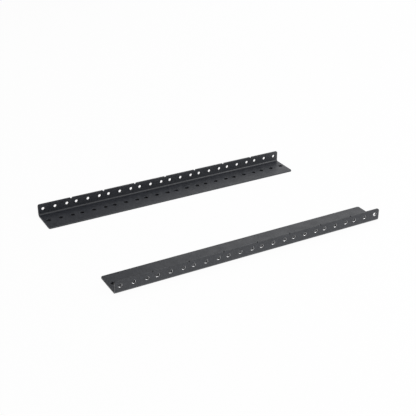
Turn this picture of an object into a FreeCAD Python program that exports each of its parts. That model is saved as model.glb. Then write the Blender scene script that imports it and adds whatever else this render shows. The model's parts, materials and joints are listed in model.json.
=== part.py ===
"""A pair of rack mounting rails.

Each rail is one strip of sheet steel bent into an angle. The narrow flange stands up and
the wide flange lies flat. Both flanges carry the universal hole pattern, three holes to a
rack unit, and small notches in the free edge of the narrow flange mark where one unit ends
and the next begins. The two rails are the same part, laid with their narrow flanges on the
outside, so the second one is the first turned half a turn about the vertical.

Frame: X along the rails, Y across them, Z up, origin on the ground at the middle of the pair.
Each rail is drawn in a frame of its own: the middle of its length at X = 0, the outer face of
its narrow flange at Y = 0, its wide flange towards -Y and its underside at Z = 0.
"""
import FreeCAD, Part
import math
import os
import Sketcher
from enum import IntEnum
from FreeCAD import Placement, Rotation, Vector

# Driving dimensions, in millimetres, apart from the plain count of rack units
SIZES = [
    ("rack_unit", 44.45, "one rack unit, measured along the rail"),
    ("unit_count", 8, "rack units on one rail"),
    ("hole_pitch", 15.875, "from the middle hole of a unit to the hole on either side"),
    ("sheet", 2.0, "thickness of the steel"),
    ("bend_radius", 2.0, "radius on the inside of the bend"),
    ("upright_height", 16.5, "narrow flange, from the underside to its free edge"),
    ("lying_width", 40.0, "wide flange, from the outer face of the narrow one to its free edge"),
    ("corner_radius", 2.5, "rounding of the free corners of both flanges"),
    ("tapped_hole", 4.83, "diameter of the screw holes in the narrow flange, outside their thread"),
    ("clearance_hole", 5.5, "diameter of the plain holes in the wide flange"),
    ("upright_hole_edge", 6.5, "from the free edge of the narrow flange to its line of holes"),
    ("lying_hole_edge", 20.0, "from the free edge of the wide flange to its line of holes"),
    ("notch_radius", 1.2, "round bottom of a unit notch"),
    ("notch_depth", 1.5, "depth of a unit notch below the free edge"),
    ("pair_spacing", 215.0, "between the outer faces of the two narrow flanges"),
    ("pair_stagger", 10.8, "how far the front rail is shifted along the back one"),
]


class Point(IntEnum):
    """The points of a sketch element, by the sketcher's own numbers."""
    START = 1
    END = 2
    CENTRE = 3


class Axis(IntEnum):
    """The two axes that every sketch has, by the sketcher's own numbers."""
    ACROSS = -1
    UP = -2


START, END, CENTRE = Point
ACROSS_AXIS, UP_AXIS = Axis

# A sketch's origin is the start of its first axis
ORIGIN = ACROSS_AXIS

NORMAL = Vector(0, 0, 1)
VERTICAL = Vector(0, 0, 1)
HALF_TURN = 180

doc = FreeCAD.newDocument("rack_rails")


def make_sizes():
    """The spreadsheet of driving dimensions: a name, a number and a note on each row."""
    sheet = doc.addObject("Spreadsheet::Sheet", "sizes")
    for row, (alias, value, note) in enumerate(SIZES, start=1):
        sheet.set(f"A{row}", alias)
        sheet.set(f"B{row}", str(value))
        sheet.setAlias(f"B{row}", alias)
        sheet.set(f"C{row}", note)
    doc.recompute()
    return sheet


def origin_feature(body, role):
    """One of the body's own origin planes or axes."""
    return next(item for item in body.Origin.OriginFeatures if item.Role == role)


def new_sketch(body, name, plane_role):
    """An empty sketch on one of the body's own origin planes."""
    sketch = body.newObject("Sketcher::SketchObject", name)
    sketch.AttachmentSupport = [(origin_feature(body, plane_role), "")]
    sketch.MapMode = "FlatFace"
    return sketch


def tie(sketch, kind, *places):
    """A constraint without a size, such as a tangent or two points that coincide."""
    sketch.addConstraint(Sketcher.Constraint(kind, *places))


def drive(sketch, expression, kind, *places_and_value):
    """A constraint whose size is an expression of the spreadsheet."""
    number = sketch.addConstraint(Sketcher.Constraint(kind, *places_and_value))
    sketch.setExpression(f"Constraints[{number}]", expression)


def line(sketch, first, last):
    """Adds a straight edge and gives its number."""
    return sketch.addGeometry(Part.LineSegment(first, last))


def arc(sketch, centre, radius, first_angle, last_angle):
    """Adds an arc, counter-clockwise, and gives its number."""
    return sketch.addGeometry(Part.ArcOfCircle(Part.Circle(centre, NORMAL, radius), first_angle, last_angle))


def draw_section(sketch):
    """The bent section: six straight edges and the two arcs of the bend.

    The sketch's axes are Y and Z. The outline goes out under the wide flange, back over it,
    round the inside of the bend, up and over the narrow flange, and down its outer face.
    """
    wide, tall = sizes.lying_width, sizes.upright_height
    thick, inner = sizes.sheet, sizes.bend_radius
    outer = inner + thick
    bend_centre = Vector(-outer, outer)
    underside = line(sketch, Vector(-outer, 0), Vector(-wide, 0))
    lying_edge = line(sketch, Vector(-wide, 0), Vector(-wide, thick))
    top = line(sketch, Vector(-wide, thick), Vector(-outer, thick))
    inner_bend = arc(sketch, bend_centre, inner, -math.pi / 2, 0)
    inside = line(sketch, Vector(-thick, outer), Vector(-thick, tall))
    upright_edge = line(sketch, Vector(-thick, tall), Vector(0, tall))
    outside = line(sketch, Vector(0, tall), Vector(0, outer))
    outer_bend = arc(sketch, bend_centre, outer, -math.pi / 2, 0)
    for level in (underside, top, upright_edge):
        tie(sketch, "Horizontal", level)
    for plumb in (lying_edge, inside, outside):
        tie(sketch, "Vertical", plumb)
    tie(sketch, "Coincident", underside, END, lying_edge, START)
    tie(sketch, "Coincident", lying_edge, END, top, START)
    tie(sketch, "Tangent", top, END, inner_bend, START)
    tie(sketch, "Tangent", inner_bend, END, inside, START)
    tie(sketch, "Coincident", inside, END, upright_edge, START)
    tie(sketch, "Coincident", upright_edge, END, outside, START)
    tie(sketch, "Tangent", outside, END, outer_bend, END)
    tie(sketch, "Tangent", outer_bend, START, underside, START)
    tie(sketch, "Coincident", inner_bend, CENTRE, outer_bend, CENTRE)
    tie(sketch, "PointOnObject", outside, START, UP_AXIS)
    tie(sketch, "PointOnObject", underside, START, ACROSS_AXIS)
    drive(sketch, "sizes.lying_width", "DistanceX", lying_edge, START, ORIGIN, START, wide)
    drive(sketch, "sizes.upright_height", "DistanceY", ORIGIN, START, outside, START, tall)
    drive(sketch, "sizes.sheet", "DistanceY", lying_edge, START, lying_edge, END, thick)
    drive(sketch, "sizes.bend_radius", "Radius", inner_bend, inner)


def draw_unit_holes(sketch, diameter, diameter_size, level, from_origin, level_size):
    """The three holes of the first rack unit, as circles on one line.

    The holes are centred in their unit, so the middle one stands half a unit in from the end.
    from_origin says which way the line's distance is counted: up from the origin or down to it.
    """
    first_unit = (sizes.unit_count - 1) * sizes.rack_unit / 2
    for step in (-1, 0, 1):
        back = first_unit - step * sizes.hole_pitch
        sign = 1 if from_origin else -1
        hole = sketch.addGeometry(Part.Circle(Vector(-back, sign * level), NORMAL, diameter / 2))
        ends = (ORIGIN, START, hole, CENTRE) if from_origin else (hole, CENTRE, ORIGIN, START)
        drive(sketch, diameter_size, "Diameter", hole, diameter)
        drive(sketch, f"(sizes.unit_count - 1) * sizes.rack_unit / 2 - ({step}) * sizes.hole_pitch",
              "DistanceX", hole, CENTRE, ORIGIN, START, back)
        drive(sketch, level_size, "DistanceY", *ends, level)


def draw_notch(sketch):
    """The notch at the end of the first unit: a round bottom and two straight sides.

    The sides are as long as the notch is deep, so its mouth stands clear above the free edge.
    """
    radius, depth = sizes.notch_radius, sizes.notch_depth
    back = (sizes.unit_count - 2) * sizes.rack_unit / 2
    low = sizes.upright_height - depth + radius
    high = low + depth
    bottom = arc(sketch, Vector(-back, low), radius, math.pi, 2 * math.pi)
    right = line(sketch, Vector(radius - back, low), Vector(radius - back, high))
    mouth = line(sketch, Vector(radius - back, high), Vector(-radius - back, high))
    left = line(sketch, Vector(-radius - back, high), Vector(-radius - back, low))
    tie(sketch, "Tangent", bottom, END, right, START)
    tie(sketch, "Coincident", right, END, mouth, START)
    tie(sketch, "Coincident", mouth, END, left, START)
    tie(sketch, "Tangent", left, END, bottom, START)
    tie(sketch, "Vertical", right)
    tie(sketch, "Horizontal", mouth)
    drive(sketch, "sizes.notch_radius", "Radius", bottom, radius)
    drive(sketch, "sizes.notch_depth", "DistanceY", right, START, right, END, depth)
    drive(sketch, "(sizes.unit_count - 2) * sizes.rack_unit / 2",
          "DistanceX", bottom, CENTRE, ORIGIN, START, back)
    drive(sketch, "sizes.upright_height - sizes.notch_depth + sizes.notch_radius",
          "DistanceY", ORIGIN, START, bottom, CENTRE, low)


def free_corner_edges(shape):
    """Names of the four short edges at the free corners: two on each flange, through the sheet."""
    end = sizes.unit_count * sizes.rack_unit / 2
    near = sizes.sheet / 10
    names = []
    for number, edge in enumerate(shape.Edges, start=1):
        middle = edge.CenterOfMass
        at_end = abs(abs(middle.x) - end) < near
        on_lying_edge = abs(middle.y + sizes.lying_width) < near
        on_upright_edge = abs(middle.z - sizes.upright_height) < near
        if at_end and (on_lying_edge or on_upright_edge):
            names.append(f"Edge{number}")
    return names


def cut_through(body, sketch, name):
    """A pocket right through the sheet, both ways from its sketch."""
    pocket = body.newObject("PartDesign::Pocket", name)
    pocket.Profile = sketch
    pocket.SideType = "Symmetric"
    pocket.Type = "ThroughAll"
    return pocket


def repeat_by_unit(body, cut, name, count_size):
    """Repeats a cut along the rail, one copy for each rack unit."""
    pattern = body.newObject("PartDesign::LinearPattern", name)
    pattern.Originals = [cut]
    pattern.Direction = (origin_feature(body, "X_Axis"), [""])
    pattern.Mode = "Spacing"
    pattern.setExpression("Offset", "sizes.rack_unit")
    pattern.setExpression("Occurrences", count_size)
    body.Tip = pattern
    doc.recompute()
    return pattern


def require_cut(before, after, least):
    """Stops if a row of cuts took away less steel than it should have."""
    lost = before.Shape.Volume - after.Shape.Volume
    if lost < least:
        raise RuntimeError(f"{after.Label} took away {lost:.1f} cubic mm, expected at least {least:.1f}")


def make_rail(name):
    """One rail: the section pulled to its length, free corners rounded, then holes and notches cut."""
    body = doc.addObject("PartDesign::Body", name)
    body.Label = name

    section = new_sketch(body, f"{name}_section", "YZ_Plane")
    draw_section(section)
    strip = body.newObject("PartDesign::Pad", f"{name}_strip")
    strip.Profile = section
    strip.SideType = "Symmetric"
    strip.setExpression("Length", "sizes.unit_count * sizes.rack_unit")
    doc.recompute()

    corners = body.newObject("PartDesign::Fillet", f"{name}_corners")
    corners.Base = (strip, free_corner_edges(strip.Shape))
    corners.setExpression("Radius", "sizes.corner_radius")
    doc.recompute()

    hole_count = 3 * sizes.unit_count
    lying = new_sketch(body, f"{name}_lying_sketch", "XY_Plane")
    draw_unit_holes(lying, sizes.clearance_hole, "sizes.clearance_hole",
                    sizes.lying_width - sizes.lying_hole_edge, False,
                    "sizes.lying_width - sizes.lying_hole_edge")
    lying_cut = cut_through(body, lying, f"{name}_lying_cut")
    lying_holes = repeat_by_unit(body, lying_cut, f"{name}_lying_holes", "sizes.unit_count")
    require_cut(corners, lying_holes, hole_count * sizes.sheet * sizes.clearance_hole ** 2 / 2)

    upright = new_sketch(body, f"{name}_upright_sketch", "XZ_Plane")
    draw_unit_holes(upright, sizes.tapped_hole, "sizes.tapped_hole",
                    sizes.upright_height - sizes.upright_hole_edge, True,
                    "sizes.upright_height - sizes.upright_hole_edge")
    upright_cut = cut_through(body, upright, f"{name}_upright_cut")
    upright_holes = repeat_by_unit(body, upright_cut, f"{name}_upright_holes", "sizes.unit_count")
    require_cut(lying_holes, upright_holes, hole_count * sizes.sheet * sizes.tapped_hole ** 2 / 2)

    notch = new_sketch(body, f"{name}_notch_sketch", "XZ_Plane")
    draw_notch(notch)
    notch_cut = cut_through(body, notch, f"{name}_notch_cut")
    notches = repeat_by_unit(body, notch_cut, f"{name}_notches", "sizes.unit_count - 1")
    notch_area = sizes.notch_radius * sizes.notch_depth
    require_cut(upright_holes, notches, (sizes.unit_count - 1) * sizes.sheet * notch_area / 2)
    return body


def lay_out(back, front):
    """Lays the two rails flange to flange, the front one turned and shifted along the back one."""
    back.setExpression("Placement.Base.x", "-sizes.pair_stagger / 2")
    back.setExpression("Placement.Base.y", "sizes.pair_spacing / 2")
    front.Placement = Placement(Vector(), Rotation(VERTICAL, HALF_TURN))
    front.setExpression("Placement.Base.x", "sizes.pair_stagger / 2")
    front.setExpression("Placement.Base.y", "-sizes.pair_spacing / 2")
    doc.recompute()


def require_sound(bodies):
    """Stops if any object of the document failed, or if a rail isn't one valid solid."""
    for item in doc.Objects:
        if {"Invalid", "Error"} & set(item.State):
            raise RuntimeError(f"{item.Label} failed: {item.State}")
    for body in bodies:
        shape = body.Shape
        if shape.isNull() or not shape.isValid() or len(shape.Solids) != 1:
            raise RuntimeError(f"{body.Label} isn't one valid solid")


sizes = make_sizes()
rails = [make_rail("back_rail"), make_rail("front_rail")]
lay_out(*rails)
require_sound(rails)

os.makedirs("parts", exist_ok=True)
for rail in rails:
    rail.Shape.exportStep(f"parts/{rail.Label}.step")
    box = rail.Shape.BoundBox
    print(f"{rail.Label}: {box.XLength:.2f} x {box.YLength:.2f} x {box.ZLength:.2f} mm, "
          f"{rail.Shape.Volume:.0f} cubic mm")
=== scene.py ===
# %% [markdown]
# # A pair of rack mounting rails
# Two strips of sheet steel lie on a white table. Each is bent once into an angle, coated black, and
# punched along both flanges with screw holes, three to a rack unit. The holes in the narrow flange
# are tapped, and bright steel shows at their outer mouths.
# This lesson builds the rails the way a press shop does: cut a flat blank, roll its edges, bend it.

# %% Load the frame
import json
import math

import bpy
import numpy as np
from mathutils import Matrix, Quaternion, Vector, geometry


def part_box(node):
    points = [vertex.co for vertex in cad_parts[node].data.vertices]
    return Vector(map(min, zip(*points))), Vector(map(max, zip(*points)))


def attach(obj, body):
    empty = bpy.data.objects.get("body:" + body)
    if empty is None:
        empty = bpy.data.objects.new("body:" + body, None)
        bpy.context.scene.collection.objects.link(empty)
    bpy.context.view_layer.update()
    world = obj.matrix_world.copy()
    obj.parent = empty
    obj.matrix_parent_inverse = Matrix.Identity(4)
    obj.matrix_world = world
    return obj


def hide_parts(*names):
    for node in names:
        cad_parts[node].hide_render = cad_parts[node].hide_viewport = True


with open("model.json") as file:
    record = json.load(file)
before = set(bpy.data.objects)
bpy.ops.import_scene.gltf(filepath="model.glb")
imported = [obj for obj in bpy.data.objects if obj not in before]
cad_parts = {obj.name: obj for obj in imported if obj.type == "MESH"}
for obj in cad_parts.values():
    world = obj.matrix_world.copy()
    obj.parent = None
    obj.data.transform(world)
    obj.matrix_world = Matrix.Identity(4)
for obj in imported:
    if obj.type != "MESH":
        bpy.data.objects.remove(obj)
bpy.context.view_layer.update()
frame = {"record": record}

MM = 0.001

# %% [markdown]
# ## Sizes
# The frame gives each rail's length, height and width. What a box can't tell, such as the thickness
# of the sheet and the bend, is written here once in the same sizes as the solid model. The last two
# lengths, the rolled edge and the rounded lips of the notches, are finer than that model. The hole
# pattern is the universal one: three holes centred in each rack unit.

# %% Sizes of a rail
RAILS = ("back_rail", "front_rail")
rail_low, rail_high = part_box("back_rail")
LENGTH = rail_high.x - rail_low.x
TALL = rail_high.z - rail_low.z
WIDE = rail_high.y - rail_low.y

SHEET = 2.0 * MM
BEND_INSIDE = 2.0 * MM
CORNER_RADIUS = 2.5 * MM
RACK_UNIT = 44.45 * MM
HOLE_PITCH = 15.875 * MM
UPRIGHT_HOLE_EDGE = 6.5 * MM
LYING_HOLE_EDGE = 20.0 * MM
NOTCH_RADIUS = 1.2 * MM
NOTCH_DEPTH = 1.5 * MM
EDGE_ROLL = 0.2 * MM
NOTCH_LIP = 0.45 * MM

mount_dims = {m["name"]: m["dims"] for m in frame["record"]["mounts"]}
TAPPED_RADIUS = mount_dims["back_rail_upright_unit_1"]["hole_r_mm"] * MM
PLAIN_RADIUS = mount_dims["back_rail_lying_unit_1"]["hole_r_mm"] * MM

units = round(LENGTH / RACK_UNIT)
unit_middles = (np.arange(units) - (units - 1) / 2) * RACK_UNIT
hole_places = (unit_middles[:, None] + HOLE_PITCH * np.array([-1, 0, 1])).ravel()
notch_places = (unit_middles[1:] + unit_middles[:-1]) / 2
print(units, "rack units,", len(hole_places), "holes in a flange,", len(notch_places), "notches")

# %% [markdown]
# ## The camera
# A photograph of a thing with known sizes tells where its camera stood. The hole rows and the straight
# edges of both rails were matched to the picture, which gave the place, the two viewing angles and the
# focal length below, and how little the picture leans. Blender's camera looks along its own -Z, so a track
# quaternion turns it.

# %% Camera
CAMERA_PLACE = Vector((-463.8, -833.4, 495.4)) * MM
CAMERA_HEADING = math.radians(29.13)
CAMERA_DIP = math.radians(26.76)
CAMERA_ROLL = math.radians(0.109)
PICTURE_SIDE = 416
FOCAL_PIXELS = 859.4
SENSOR_WIDTH = 36.0
NEAREST_SEEN = 0.01
FARTHEST_SEEN = 100.0

camera_data = bpy.data.cameras.new("photo_camera")
camera_data.sensor_width = SENSOR_WIDTH
camera_data.lens = FOCAL_PIXELS / PICTURE_SIDE * SENSOR_WIDTH
camera_data.clip_start = NEAREST_SEEN
camera_data.clip_end = FARTHEST_SEEN
camera = bpy.data.objects.new("photo_camera", camera_data)
look = Vector((math.sin(CAMERA_HEADING) * math.cos(CAMERA_DIP),
               math.cos(CAMERA_HEADING) * math.cos(CAMERA_DIP),
               -math.sin(CAMERA_DIP)))
camera.location = CAMERA_PLACE
camera.rotation_mode = "QUATERNION"
camera.rotation_quaternion = look.to_track_quat("-Z", "Y") @ Quaternion((0, 0, 1), CAMERA_ROLL)
bpy.context.scene.collection.objects.link(camera)
bpy.context.scene.camera = camera
print("lens of", round(camera_data.lens, 1), "mm")

# %% [markdown]
# ## Helpers for node materials
# Every finish here is a small node graph. Three helpers keep the cells short: one makes a node with its
# settings, one makes a new material and hands back its graph and output, and one tells the rays by which
# a thing is seen from the rays that only carry light.

# %% Node helpers
def add_node(tree, kind, inputs=None, **settings):
    """A node of that kind, with plain settings as attributes and unlinked inputs as values."""
    node = tree.nodes.new(kind)
    for name, value in settings.items():
        setattr(node, name, value)
    for name, value in (inputs or {}).items():
        node.inputs[name].default_value = value
    return node


def new_material(name):
    """A material with an empty graph but for its output node."""
    material = bpy.data.materials.new(name)
    material.use_nodes = True
    tree = material.node_tree
    tree.nodes.clear()
    output = add_node(tree, "ShaderNodeOutputMaterial")
    return material, tree, output


def seen_rays(tree):
    """One for rays that show a thing to the eye: from the camera, or by way of a mirror or glass."""
    path = add_node(tree, "ShaderNodeLightPath")
    first = add_node(tree, "ShaderNodeMath", operation="MAXIMUM")
    both = add_node(tree, "ShaderNodeMath", operation="MAXIMUM")
    tree.links.new(path.outputs["Is Camera Ray"], first.inputs[0])
    tree.links.new(path.outputs["Is Glossy Ray"], first.inputs[1])
    tree.links.new(first.outputs[0], both.inputs[0])
    tree.links.new(path.outputs["Is Transmission Ray"], both.inputs[1])
    return both.outputs[0]


# %% [markdown]
# ## White all round
# The rails were shown on white, in soft light. A white world of strength 1 is a tent of white cloth: it
# lights every side evenly, and a colour in it looks about as it is written.

# %% World
WHITE = (1, 1, 1, 1)
TENT_STRENGTH = 1.0
world = bpy.data.worlds.new("white_tent")
world.use_nodes = True
tent = world.node_tree
tent.nodes.clear()
tent_output = add_node(tent, "ShaderNodeOutputWorld")
tent_white = add_node(tent, "ShaderNodeBackground", {"Color": WHITE, "Strength": TENT_STRENGTH})
tent.links.new(tent_white.outputs[0], tent_output.inputs["Surface"])
bpy.context.scene.world = world
bpy.context.scene.view_settings.view_transform = "Standard"
print(world.name, "of strength", TENT_STRENGTH)

# %% [markdown]
# ## One lamp
# The near faces of the rails are brighter towards the right, and the mouths of the tapped holes glint. So
# one broad lamp stands in front on the right. Its size keeps the glints soft.

# %% Lamp
LAMP_SIDE = 0.4
LAMP_WATTS = 3.0
LAMP_PLACE = Vector((0.7, -0.7, 0.5))
lamp_data = bpy.data.lights.new("broad_lamp", "AREA")
lamp_data.shape = "SQUARE"
lamp_data.size = LAMP_SIDE
lamp_data.energy = LAMP_WATTS
lamp = bpy.data.objects.new("broad_lamp", lamp_data)
lamp.location = LAMP_PLACE
lamp.rotation_mode = "QUATERNION"
lamp.rotation_quaternion = (-LAMP_PLACE).to_track_quat("-Z", "Y")
bpy.context.scene.collection.objects.link(lamp)
print("lamp of", LAMP_WATTS, "W,", round(LAMP_PLACE.length, 2), "m away")

# %% [markdown]
# ## The table
# The table is white paint. To the eye it shows mostly a plain white of its own, so that it meets the white
# world without a line, while the paint's share keeps the rails' soft shadow. Under each rail the light
# hardly reaches, and that shade is painted in: a near-black strip below the row of plain holes, a painted
# shadow, lets them look as deep as they are.

# %% Table materials
TABLE_WHITE = (0.95, 0.95, 0.95, 1)
# near-black paint that stands in for the shade under each rail: a painted shadow
TABLE_PAINTED_SHADOW = (0.04, 0.04, 0.04, 1)
TABLE_GLOW = 0.95
white_table, tree, output = new_material("white_table")
paint = add_node(tree, "ShaderNodeBsdfDiffuse", {"Color": TABLE_WHITE})
glow = add_node(tree, "ShaderNodeEmission", {"Color": WHITE, "Strength": TENT_STRENGTH})
share = add_node(tree, "ShaderNodeMath", {1: TABLE_GLOW}, operation="MULTIPLY")
mix = add_node(tree, "ShaderNodeMixShader")
tree.links.new(seen_rays(tree), share.inputs[0])
tree.links.new(share.outputs[0], mix.inputs["Fac"])
tree.links.new(paint.outputs[0], mix.inputs[1])
tree.links.new(glow.outputs[0], mix.inputs[2])
tree.links.new(mix.outputs[0], output.inputs["Surface"])

# The painted shadow: plain near-black paint for the table cells under a rail
painted_shadow_strip, tree, output = new_material("painted_shadow_strip")
paint = add_node(tree, "ShaderNodeBsdfDiffuse", {"Color": TABLE_PAINTED_SHADOW})
tree.links.new(paint.outputs[0], output.inputs["Surface"])
print(white_table.name, "shows", round(100 * TABLE_GLOW), "% plain white to the eye")

# %% Table with two strips of painted shadow
TABLE_SIDE = 12.0
STRIP_INSET = np.array([1.0, 8.0]) * MM
footprints = np.array([[corner[:2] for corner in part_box(node)] for node in RAILS])
strip_low = footprints[:, 0] + STRIP_INSET
strip_high = footprints[:, 1] - STRIP_INSET
lines_x = np.sort([-TABLE_SIDE / 2, *strip_low[:, 0], *strip_high[:, 0], TABLE_SIDE / 2])
lines_y = np.sort([-TABLE_SIDE / 2, *strip_low[:, 1], *strip_high[:, 1], TABLE_SIDE / 2])
grid_x, grid_y = np.meshgrid(lines_x, lines_y)
table_points = np.stack([grid_x, grid_y, np.zeros_like(grid_x)], axis=-1).reshape(-1, 3)
order = np.arange(grid_x.size).reshape(grid_x.shape)
cells = np.stack([order[:-1, :-1], order[:-1, 1:], order[1:, 1:], order[1:, :-1]], axis=-1).reshape(-1, 4)
middles = table_points[cells].mean(axis=1)[:, None, :2]
# cells under a rail take the painted shadow
dark = ((middles > strip_low) & (middles < strip_high)).all(axis=2).any(axis=1)

table_mesh = bpy.data.meshes.new("table")
table_mesh.from_pydata(table_points.tolist(), [], cells.tolist())
table_mesh.materials.append(white_table)
table_mesh.materials.append(painted_shadow_strip)
table_mesh.polygons.foreach_set("material_index", dark.astype(np.int32))
table = bpy.data.objects.new("table", table_mesh)
bpy.context.scene.collection.objects.link(table)
print(len(cells), "table cells,", int(dark.sum()), "of them under a rail")

# %% [markdown]
# ## A dark drape
# Black metal looks black because of what it mirrors. The rails grow darker towards the left, so the tent
# has a dark side there: a black drape that curves round the left of the table, out of the camera's sight.

# %% Dark drape
DRAPE_RADIUS = 1.5
DRAPE_TALL = 1.4
DRAPE_FROM = -172.0
DRAPE_TO = 21.0
DRAPE_STEPS = 48
DRAPE_BLACK = (0.02, 0.02, 0.02, 1)
drape_material, tree, output = new_material("dark_drape")
black = add_node(tree, "ShaderNodeBsdfDiffuse", {"Color": DRAPE_BLACK})
tree.links.new(black.outputs[0], output.inputs["Surface"])
heading = np.radians(np.linspace(DRAPE_FROM, DRAPE_TO, DRAPE_STEPS + 1))
hem = DRAPE_RADIUS * np.stack([np.sin(heading), np.cos(heading), np.zeros_like(heading)], axis=1)
column = np.arange(DRAPE_STEPS)
drape_faces = np.stack([column, column + 1, column + DRAPE_STEPS + 2, column + DRAPE_STEPS + 1], axis=1)
drape_mesh = bpy.data.meshes.new("dark_drape")
drape_mesh.from_pydata(np.concatenate([hem, hem + (0, 0, DRAPE_TALL)]).tolist(), [], drape_faces.tolist())
drape_mesh.materials.append(drape_material)
drape = bpy.data.objects.new("dark_drape", drape_mesh)
drape.visible_camera = False
bpy.context.scene.collection.objects.link(drape)
print("drape round", DRAPE_TO - DRAPE_FROM, "degrees,", len(drape_faces), "faces")

# %% [markdown]
# ## Black coat
# The rails are powder coated: black dust with a touch of blue is baked until it melts into a satin skin.
# The skin keeps a fine grain and the soft pits called orange peel, and its colour is never quite even. On
# the rolled edges it is lighter grey: partly where the thin coat is rubbed, partly a painted highlight
# along every edge. A painted picture could show this too, but noise in the rail's own space has no seams
# and holds up at any distance.

# %% Noise helpers
FINE_DETAIL = 2.0
CLOUD_DETAIL = 3.0
NOISE_LOW = 0.35
NOISE_HIGH = 0.65


def noise(tree, size, detail, stretch=(1, 1, 1)):
    """Noise from 0 to 1 in the piece's own space, in patches of about that size times the stretch."""
    place = add_node(tree, "ShaderNodeTexCoord")
    scale = add_node(tree, "ShaderNodeMapping", {"Scale": [1 / part for part in stretch]})
    pattern = add_node(tree, "ShaderNodeTexNoise", {"Scale": 1 / size, "Detail": detail})
    tree.links.new(place.outputs["Object"], scale.inputs["Vector"])
    tree.links.new(scale.outputs["Vector"], pattern.inputs["Vector"])
    return pattern.outputs["Fac"]


def spread(tree, value, low, high):
    """The middle of a noise, where most of it lies, spread out from low to high."""
    node = add_node(tree, "ShaderNodeMapRange", {"From Min": NOISE_LOW, "From Max": NOISE_HIGH,
                                                 "To Min": low, "To Max": high})
    tree.links.new(value, node.inputs["Value"])
    return node.outputs["Result"]


def blend(tree, share, first, second):
    """The first where the share is 0 and the second where it is 1, each a colour or a node's output."""
    node = add_node(tree, "ShaderNodeMix", data_type="RGBA")
    colours = [socket for socket in node.inputs if socket.type == "RGBA"]
    for socket, colour in zip(colours, (first, second)):
        if isinstance(colour, bpy.types.NodeSocket):
            tree.links.new(colour, socket)
        else:
            socket.default_value = colour
    tree.links.new(share, node.inputs["Factor"])
    return next(socket for socket in node.outputs if socket.type == "RGBA")


# %% Coat material
COAT_DARK = (0.0077, 0.0095, 0.014, 1)
COAT_LIGHT = (0.028, 0.031, 0.0395, 1)
# the grey of the rolled edges: partly worn coat, partly a painted highlight
COAT_WEAR_AND_SHEEN = (0.10, 0.10, 0.105, 1)
COAT_IOR = 1.6
GRAIN_SIZE = 1.2 * MM
PEEL_DEPTH = 0.04 * MM
CLOUD_SIZE = 12 * MM
WEAR_AND_SHEEN_SIZE = 5 * MM
WEAR_AND_SHEEN_MOST = 0.6
ROUGH_LEAST = 0.39
ROUGH_MOST = 0.49

coat, tree, output = new_material("black_coat")
shader = add_node(tree, "ShaderNodeBsdfPrincipled", {"IOR": COAT_IOR})
grain = noise(tree, GRAIN_SIZE, FINE_DETAIL)
cloud = noise(tree, CLOUD_SIZE, CLOUD_DETAIL)
wear_and_sheen_noise = noise(tree, WEAR_AND_SHEEN_SIZE, CLOUD_DETAIL)
edge = add_node(tree, "ShaderNodeAttribute", attribute_name="edge_wear_and_sheen")
wear_and_sheen_share = add_node(tree, "ShaderNodeMath", operation="MULTIPLY")
tree.links.new(edge.outputs["Fac"], wear_and_sheen_share.inputs[0])
tree.links.new(spread(tree, wear_and_sheen_noise, 0.0, WEAR_AND_SHEEN_MOST), wear_and_sheen_share.inputs[1])
skin = blend(tree, spread(tree, grain, 0.0, 1.0), COAT_DARK, COAT_LIGHT)
tree.links.new(blend(tree, wear_and_sheen_share.outputs[0], skin, COAT_WEAR_AND_SHEEN), shader.inputs["Base Color"])
tree.links.new(spread(tree, cloud, ROUGH_LEAST, ROUGH_MOST), shader.inputs["Roughness"])
peel = add_node(tree, "ShaderNodeBump", {"Strength": 1.0, "Distance": PEEL_DEPTH})
tree.links.new(grain, peel.inputs["Height"])
tree.links.new(peel.outputs["Normal"], shader.inputs["Normal"])
tree.links.new(shader.outputs[0], output.inputs["Surface"])
print(coat.name, "of", len(tree.nodes), "nodes")

# %% [markdown]
# ## Bare steel
# Where the tap and the countersink have cut, the steel is bare. Down in the thread it is dark: partly oil
# and dust, partly the shade of the hole painted into its colour. The cone at the outer mouth is kept bright
# by every screw that goes in. The cutters leave fine scratches round the hole, so their noise is long
# across the hole and short along it, which is along y.

# %% Steel material
# thread colours: partly oil and dust, partly the hole's shade painted in
THREAD_DARK = (0.03, 0.03, 0.031, 1)
THREAD_LIGHT = (0.06, 0.06, 0.062, 1)
CONE_DARK = (0.60, 0.605, 0.61, 1)
CONE_LIGHT = (0.80, 0.80, 0.805, 1)
THREAD_ROUGH = (0.45, 0.35)
CONE_ROUGH = (0.20, 0.12)
SCRATCH_SIZE = 0.12 * MM
SCRATCH_STRETCH = (8, 1, 8)
SCRATCH_DEPTH = 0.004 * MM

steel, tree, output = new_material("bare_thread")
shader = add_node(tree, "ShaderNodeBsdfPrincipled", {"Metallic": 1.0})
scratch = noise(tree, SCRATCH_SIZE, FINE_DETAIL, SCRATCH_STRETCH)
light_scratch = spread(tree, scratch, 0.0, 1.0)
cone_share = add_node(tree, "ShaderNodeAttribute", attribute_name="on_cone").outputs["Fac"]
steel_colour = blend(tree, cone_share,
                     blend(tree, light_scratch, THREAD_DARK, THREAD_LIGHT),
                     blend(tree, light_scratch, CONE_DARK, CONE_LIGHT))
steel_rough = blend(tree, cone_share,
                    spread(tree, scratch, *THREAD_ROUGH),
                    spread(tree, scratch, *CONE_ROUGH))
tree.links.new(steel_colour, shader.inputs["Base Color"])
tree.links.new(steel_rough, shader.inputs["Roughness"])
score = add_node(tree, "ShaderNodeBump", {"Strength": 1.0, "Distance": SCRATCH_DEPTH})
tree.links.new(scratch, score.inputs["Height"])
tree.links.new(score.outputs["Normal"], shader.inputs["Normal"])
tree.links.new(shader.outputs[0], output.inputs["Surface"])
print(steel.name, "of", len(tree.nodes), "nodes")

# %% [markdown]
# ## The flat blank
# A rail starts as a flat strip with its outline and holes punched out. The blank has two coordinates: x
# along the strip, and s across it, from the free edge of the narrow flange to the free edge of the wide
# one. A bend keeps the length of the sheet's middle layer, so the middle layer sets how wide the blank is.
# Boolean cuts could make the holes, but loops of points drawn on the flat leave cleaner edges to roll.

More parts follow.
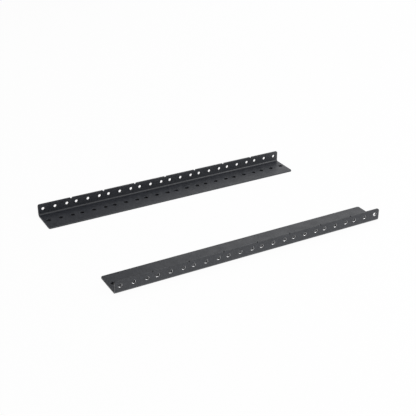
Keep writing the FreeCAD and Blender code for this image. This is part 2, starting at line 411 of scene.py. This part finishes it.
# %% Sizes of the blank
bend_outside = BEND_INSIDE + SHEET
bend_middle = BEND_INSIDE + SHEET / 2
upright_flat = TALL - bend_outside
bend_length = bend_middle * math.pi / 2
blank_wide = upright_flat + bend_length + WIDE - bend_outside
upright_line = UPRIGHT_HOLE_EDGE
lying_line = blank_wide - LYING_HOLE_EDGE
print("blank of", round(LENGTH / MM, 2), "by", round(blank_wide / MM, 2), "mm")

# %% Loops of points on the blank
CORNER_STEPS = 12
NOTCH_STEPS = 14
LIP_STEPS = 6
HOLE_STEPS = 48
BEND_STEPS = 16


def arc(centres, radius, start, end, steps):
    """Points on an arc of that radius about each centre, from start to end in degrees, and the direction
    into the steel: towards the centre where the arc turns left, away from it where it turns right."""
    angles = np.radians(np.linspace(start, end, steps + 1))
    spokes = np.stack([np.cos(angles), np.sin(angles)], axis=1)
    points = np.reshape(centres, (-1, 1, 2)) + radius * spokes
    inward = -1 if end > start else 1
    return np.stack([points, np.broadcast_to(inward * spokes, points.shape)])


def across_end(x, rows, inward):
    """Points up one end of the strip at the bend's rows, with the direction into the steel along x."""
    points = np.stack([np.full_like(rows, x), rows], axis=1)
    into = np.broadcast_to([inward, 0.0], points.shape)
    return np.stack([points, into])[:, None]


def along(places, s):
    """Points at these places along the strip, all at the same s."""
    return np.stack([places, np.full_like(places, s)], axis=1)


# %% Outline and hole loops
far_x = LENGTH / 2 - CORNER_RADIUS
far_s = blank_wide - CORNER_RADIUS
lip_x = NOTCH_RADIUS + NOTCH_LIP
bend_rows = upright_flat + bend_length * np.linspace(0, 1, BEND_STEPS + 1)

notches = np.concatenate([
    arc(along(notch_places - lip_x, NOTCH_LIP), NOTCH_LIP, 270, 360, LIP_STEPS),
    arc(along(notch_places, NOTCH_DEPTH - NOTCH_RADIUS), NOTCH_RADIUS, 180, 0, NOTCH_STEPS),
    arc(along(notch_places + lip_x, NOTCH_LIP), NOTCH_LIP, 180, 270, LIP_STEPS)], axis=2)
sides = [arc((-far_x, CORNER_RADIUS), CORNER_RADIUS, 180, 270, CORNER_STEPS),
         notches,
         arc((far_x, CORNER_RADIUS), CORNER_RADIUS, 270, 360, CORNER_STEPS),
         across_end(LENGTH / 2, bend_rows, -1.0),
         arc((far_x, far_s), CORNER_RADIUS, 0, 90, CORNER_STEPS),
         arc((-far_x, far_s), CORNER_RADIUS, 90, 180, CORNER_STEPS),
         across_end(-LENGTH / 2, bend_rows[::-1], 1.0)]
outline = np.concatenate([side.reshape(2, -1, 2) for side in sides], axis=1)
tapped = arc(along(hole_places, upright_line), TAPPED_RADIUS, 360, 0, HOLE_STEPS)[:, :, :-1]
plain = arc(along(hole_places, lying_line), PLAIN_RADIUS, 360, 0, HOLE_STEPS)[:, :, :-1]
hole_loops = np.concatenate([tapped, plain], axis=1)

loop_points, into_steel = np.concatenate([outline, hole_loops.reshape(2, -1, 2)], axis=1)
outline_count = outline.shape[1]
outline_order = np.arange(outline_count)
hole_order = outline_count + np.arange(hole_loops.shape[1] * HOLE_STEPS).reshape(-1, HOLE_STEPS)
next_point = np.concatenate([np.roll(outline_order, -1), np.roll(hole_order, -1, axis=1).ravel()])
hole_number = np.repeat(1 + np.arange(len(hole_order)), HOLE_STEPS)
loop_number = np.concatenate([np.zeros(outline_count, int), hole_number])
print(len(loop_points), "points in", 1 + len(hole_order), "loops")

# %% [markdown]
# ## Filling the sheet
# Both faces of the sheet are the same flat figure: the outline with the holes left out. Blender's
# constrained triangulation fills it between the loops, with extra lines along the bend so that no triangle
# crosses one. It fills the holes as well, and their triangles are known by having all three corners on
# one hole's loop.

# %% Triangles of the two faces
# Blender's code for filling what the edges enclose, and the distance in mm below which two points are one
INSIDE_EDGES = 1
SAME_POINT = 1e-5


def fill_blank(points):
    """Triangles between the loops: the outline and the holes are edges, and so is each row of the bend."""
    before_right_end = sum(side.reshape(2, -1, 2).shape[1] for side in sides[:3])
    right_end = before_right_end + np.arange(BEND_STEPS + 1)
    left_end = outline_count - 1 - np.arange(BEND_STEPS + 1)
    edges = np.concatenate([np.stack([np.arange(len(points)), next_point], axis=1),
                            np.stack([right_end, left_end], axis=1)])
    scaled = [Vector(point) for point in points / MM]
    filled = geometry.delaunay_2d_cdt(scaled, edges.tolist(), [], INSIDE_EDGES, SAME_POINT)
    found, origin = filled[2:4]
    triangles = np.array([origins[0] for origins in origin])[np.array(found)]
    loops = loop_number[triangles]
    in_hole = (loops[:, 0] > 0) & (loops[:, 0] == loops[:, 1]) & (loops[:, 1] == loops[:, 2])
    return triangles[~in_hole]


# The flat face begins where the rolled edge ends
face_points = loop_points + EDGE_ROLL * into_steel
face_triangles = fill_blank(face_points)
corner_a, corner_b, corner_c = np.moveaxis(face_points[face_triangles], 1, 0)
side_b, side_c = corner_b - corner_a, corner_c - corner_a
face_area = (side_b[:, 0] * side_c[:, 1] - side_b[:, 1] * side_c[:, 0]).sum() / 2
print(len(face_triangles), "triangles,", round(face_area / MM ** 2, 1), "square mm a face")

# %% [markdown]
# ## Rolled edges
# A punch leaves no knife edges, and a coat rounds them further. So the sheet's edge is a profile: a
# quarter round off one face, straight down, and a quarter round onto the other. The same profile is
# carried round the outline, the notches and every hole, along each point's direction into the steel.

# %% The edge carried round every loop
ROLL_STEPS = 5
roll = np.radians(np.concatenate([np.linspace(90, 0, ROLL_STEPS + 1), np.linspace(0, -90, ROLL_STEPS + 1)]))
half_side = np.repeat([1, -1], ROLL_STEPS + 1) * (SHEET / 2 - EDGE_ROLL)
inset = EDGE_ROLL * (1 - np.cos(roll))
edge_height = half_side + EDGE_ROLL * np.sin(roll)

flat = loop_points + inset[:, None, None] * into_steel
height = np.broadcast_to(edge_height[:, None], flat.shape[:2])
lean = -np.cos(roll)[:, None, None] * into_steel
stand = np.broadcast_to(np.sin(roll)[:, None], flat.shape[:2])
# Lighter grey on the rolled corners of every edge: partly wear of the thin coat, partly a painted highlight
rolled_wear_and_sheen = np.broadcast_to(np.abs(np.sin(2 * roll))[:, None], flat.shape[:2])

point_count = len(loop_points)
row_start = point_count * np.arange(len(roll) - 1)[:, None]
here = row_start + np.arange(point_count)
there = row_start + next_point
edge_quads = np.stack([here, here + point_count, there + point_count, there], axis=-1).reshape(-1, 4)
last_row = point_count * (len(roll) - 1)
other_face = face_triangles[:, ::-1] + last_row
rail_faces = [*face_triangles.tolist(), *other_face.tolist(), *edge_quads.tolist()]
print(len(rail_faces), "faces on a rail")

# %% [markdown]
# ## The bend
# Bending maps the flat blank into space. The upright flange stands where s is small, the bend rolls the
# next stretch round a centre line, and the lying flange runs on from there. One formula does all three:
# a turn that grows only within the bend, and two straight runs that count only outside it. The same
# formula turns the surface directions, so the shading is exact and needs no smoothing.

# %% Bend the blank
def bend(flat, height):
    """A point at s on the blank, height above the middle layer, goes to radius (middle + height) round the
    bend's centre, at the turn (s - start) / middle kept between 0 and a quarter circle; what is left of s
    before the bend goes up, and what is left after it goes along the lying flange."""
    s = flat[..., 1]
    turn = np.clip((s - upright_flat) / bend_middle, 0, math.pi / 2)
    radius = bend_middle + height
    y = -bend_outside + radius * np.cos(turn) - np.maximum(s - upright_flat - bend_length, 0)
    z = bend_outside - radius * np.sin(turn) + np.maximum(upright_flat - s, 0)
    return np.stack([flat[..., 0], y, z], axis=-1), turn


def turn_direction(lean, stand, turn):
    """A direction on the blank: its part across the strip and its part out of the sheet are both turned."""
    y = -lean[..., 1] * np.sin(turn) + stand * np.cos(turn)
    z = -lean[..., 1] * np.cos(turn) - stand * np.sin(turn)
    return np.stack([lean[..., 0], y, z], axis=-1)


rail_points, rail_turn = bend(flat, height)
rail_normals = turn_direction(lean, stand, rail_turn)
print("bent rail in mm:", np.round(np.ptp(rail_points.reshape(-1, 3), axis=0) / MM, 2))

# %% [markdown]
# ## Two rails
# Both rails are the same piece. The back one stands as it was bent, and the front one is turned half a
# turn, which changes the sign of x and y. Their places come from the boxes of the solid rails.

# %% Lay the rails down
def lay_down(points, node, with_place=True):
    """Points or directions of a rail moved from its own axes to where that node lies."""
    low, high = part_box(node)
    side = 1 if high.y > -low.y else -1
    place = ((low.x + high.x) / 2, high.y if side > 0 else low.y, 0.0)
    return points * (side, side, 1) + (np.array(place) if with_place else 0)


def add_piece(name, points, faces, material):
    """A mesh piece on the frame with its place in its mesh."""
    mesh = bpy.data.meshes.new(name)
    mesh.from_pydata(points.reshape(-1, 3).tolist(), [], faces)
    mesh.polygons.foreach_set("use_smooth", np.ones(len(mesh.polygons), bool))
    mesh.materials.append(material)
    piece = bpy.data.objects.new(name, mesh)
    bpy.context.scene.collection.objects.link(piece)
    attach(piece, "root")
    return piece


for node in RAILS:
    rail = add_piece(node + "_coated", lay_down(rail_points, node), rail_faces, coat)
    normals = lay_down(rail_normals, node, with_place=False).reshape(-1, 3)
    rail.data.normals_split_custom_set_from_vertices(normals.tolist())
    wear_and_sheen_layer = rail.data.attributes.new("edge_wear_and_sheen", "FLOAT", "POINT")
    wear_and_sheen_layer.data.foreach_set("value", rolled_wear_and_sheen.ravel())
    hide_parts(node)
    print(rail.name, len(rail.data.vertices), "points")

# %% [markdown]
# ## Tapped threads
# The narrow flange takes number 10 machine screws of 32 threads to the inch. Seen along its wall a tapped
# hole is a height field: at each angle and depth it has one radius. The screw line makes that radius a
# wave of the depth minus the angle, cut flat at the crests by the drill and at the roots by the tap. A
# countersunk cone of 120 degrees opens the end at the outer face, where screws go in. A Screw modifier
# could wind one tooth up the hole, but its two ends would hang open. A grid of angles and depths closes
# by itself.

# %% Thread in one hole
THREAD_PITCH = 25.4 / 32 * MM
THREAD_FLANK = math.tan(math.radians(60))
CONE_SLOPE = math.tan(math.radians(60))
CREST_SHARE = 0.25
ROOT_SHARE = 0.125
LIP_GAP = 0.04 * MM
THREAD_ROWS = 30
THREAD_STEPS = 48


def thread_radius(angle, depth):
    """Radius of the tapped wall. The wave runs from 0 at a crest to 1 at a root, once a pitch along the
    hole and once a turn round it; the flank's slope makes it a radius, and flats cut it."""
    phase = depth / THREAD_PITCH - angle / (2 * math.pi)
    wave = 2 * np.abs(phase - np.floor(phase) - 0.5)
    tooth = THREAD_FLANK * THREAD_PITCH / 2
    crest = thread_wall - tooth * (1 - CREST_SHARE - ROOT_SHARE)
    return np.clip(crest + tooth * (wave - CREST_SHARE), crest, thread_wall)


thread_wall = TAPPED_RADIUS - LIP_GAP
thread_end = SHEET / 2 - EDGE_ROLL
angle = np.linspace(0, 2 * math.pi, THREAD_STEPS, endpoint=False)
depth = np.linspace(thread_end, -thread_end, THREAD_ROWS)
thread = thread_radius(angle[None, :], depth[:, None])
cone = np.broadcast_to(thread_wall - CONE_SLOPE * (thread_end - depth)[:, None], thread.shape)
hidden = np.full((2, THREAD_STEPS), TAPPED_RADIUS)
ring_radius = np.concatenate([np.maximum(thread, cone), hidden])
ring_depth = np.concatenate([depth, [-thread_end, thread_end]])
ring_on_cone = np.concatenate([cone >= thread, np.zeros_like(hidden)])
print("thread from", round(thread.min() / MM, 2), "to", round(thread.max() / MM, 2), "mm radius")

# %% Threads of both rails
def thread_faces(rings):
    """Quads of closed rings: each point joined to the next row and the next angle, both wrapping round."""
    rows = len(ring_depth)
    grid = np.arange(rows * THREAD_STEPS).reshape(rows, THREAD_STEPS)
    below = np.roll(grid, -1, axis=0)
    quads = np.stack([grid, np.roll(grid, -1, axis=1), np.roll(below, -1, axis=1), below], axis=-1)
    return (quads.reshape(-1, 4) + grid.size * np.arange(rings)[:, None, None]).reshape(-1, 4).tolist()


spokes = np.stack([np.cos(angle), np.sin(angle)], axis=-1)
ring_flat = along(hole_places, upright_line)[:, None, None, :] + ring_radius[..., None] * spokes
ring_height = np.broadcast_to(ring_depth[:, None], ring_flat.shape[:3])
ring_points, _ = bend(ring_flat, ring_height)
ring_faces = thread_faces(len(hole_places))
for node in RAILS:
    threads = add_piece(node + "_threads", lay_down(ring_points, node), ring_faces, steel)
    on_cone = threads.data.attributes.new("on_cone", "FLOAT", "POINT")
    on_cone.data.foreach_set("value", np.tile(ring_on_cone.ravel(), len(hole_places)))
    print(threads.name, len(threads.data.polygons), "faces")
